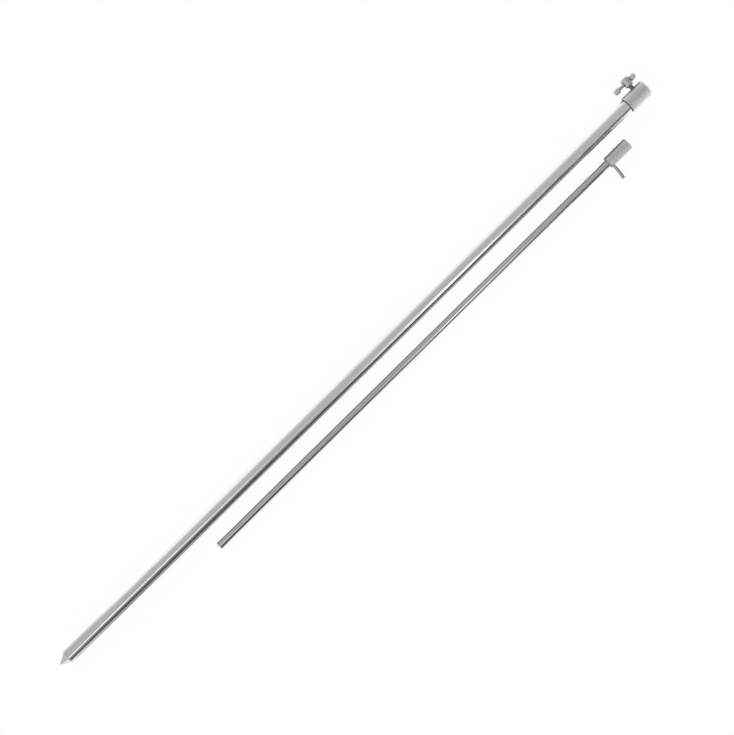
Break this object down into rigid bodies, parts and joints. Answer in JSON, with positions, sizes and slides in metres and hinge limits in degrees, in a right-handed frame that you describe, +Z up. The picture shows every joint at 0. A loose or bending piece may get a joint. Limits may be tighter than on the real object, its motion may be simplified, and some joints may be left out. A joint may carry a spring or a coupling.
{
  "type": "bank stick",
  "caption": "Telescopic steel bank stick, taken apart: a spiked outer tube with a T-bar clamp collar, and beside it the inner pole with its threaded accessory head.",
  "frame": {"origin": "under the middle of the whole object's box, on the surface that both sections lie on", "axes": "+X along both sections from the ground point and foot to the heads, +Y to the side the clamp screw stands out of, +Z up"},
  "size_m": [0.928, 0.081, 0.02],
  "materials": {
    "polished_steel": "drawn stainless steel tube and rod, polished lengthwise to a soft mirror",
    "turned_steel": "turned stainless steel, satin with fine lathe rings and bright edges",
    "nylon": "natural off-white nylon, matte"
  },
  "bodies": {
    "outer_section": {"outer_tube": "polished_steel", "ground_spike": "turned_steel", "collar": "turned_steel"},
    "pressure_pad": {"pressure_pad": "nylon"},
    "clamp_screw": {"clamp_screw": "turned_steel"},
    "tommy_bar": {"tommy_bar": "polished_steel", "tommy_cap_lower": "turned_steel", "tommy_cap_upper": "turned_steel"},
    "inner_pole": {"pole_tube": "polished_steel", "pole_foot_plug": "turned_steel", "pole_head": "turned_steel", "head_pin": "polished_steel"}
  },
  "joints": [
    {"name": "pad_slide", "type": "slide", "parent": "outer_section", "child": "pressure_pad", "axis": [0, -1, 0], "range_m": [-0.00151, 0.00301]},
    {"name": "screw_turn", "type": "hinge", "parent": "pressure_pad", "child": "clamp_screw", "pos_m": [0.45115, 0.01524, 0.01], "axis": [0, -1, 0], "range_deg": [-540, 1080]},
    {"name": "bar_slide", "type": "slide", "parent": "clamp_screw", "child": "tommy_bar", "axis": [1, 0, 0], "range_m": [0, 0.0062]},
    {"name": "pole_slide", "type": "slide", "parent": "outer_section", "child": "inner_pole", "axis": [1, 0, 0], "range_m": [0, 0.584]}
  ],
  "couplings": [
    {"joint": "pad_slide", "follows": "screw_turn", "m_per_rad": 0.00015915}
  ]
}
